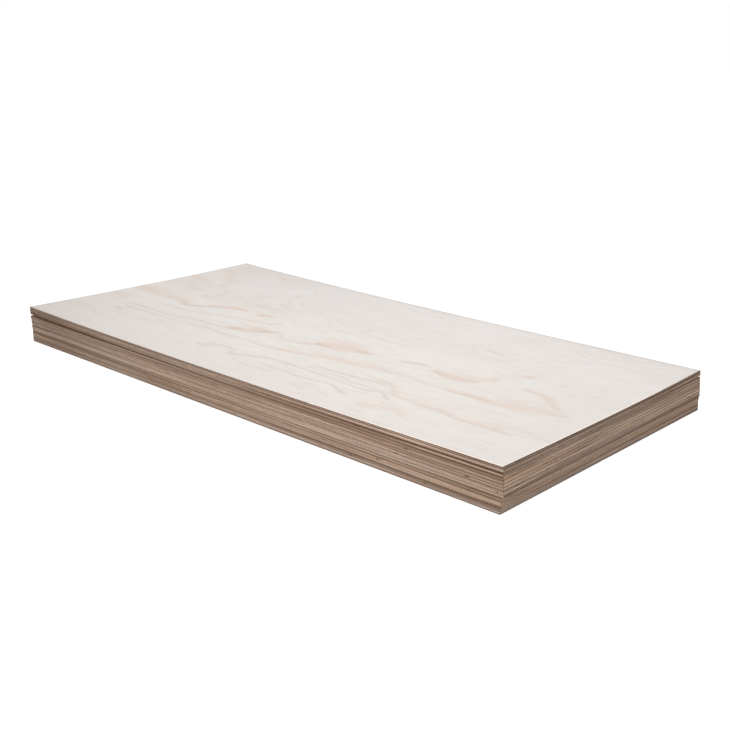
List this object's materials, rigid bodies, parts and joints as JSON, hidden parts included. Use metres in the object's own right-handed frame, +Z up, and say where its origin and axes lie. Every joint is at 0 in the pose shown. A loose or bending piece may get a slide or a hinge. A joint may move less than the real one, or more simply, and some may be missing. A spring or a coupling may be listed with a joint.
{
  "type": "stack of plywood sheets",
  "caption": "Neat stack of full-size softwood plywood sheets lying loose and flat on each other, sawn edges in line, the upper sheets slightly dished with lifted corners.",
  "frame": {"origin": "middle of the stack on the floor, under the bottom sheet", "axes": "+X along the sheets' length, +Y across them, +Z up through the stack"},
  "size_m": [2.4492, 1.2308, 0.1536],
  "materials": {
    "plywood": "raw pale softwood veneer, sawn edges"
  },
  "bodies": {
    "root": {"sheet_01": "plywood", "sheet_02": "plywood", "sheet_03": "plywood", "sheet_04": "plywood", "sheet_05": "plywood", "sheet_06": "plywood", "sheet_07": "plywood", "sheet_08": "plywood", "sheet_09": "plywood", "sheet_10": "plywood", "sheet_11": "plywood", "sheet_12": "plywood", "sheet_13": "plywood", "sheet_14": "plywood"}
  },
  "joints": []
}
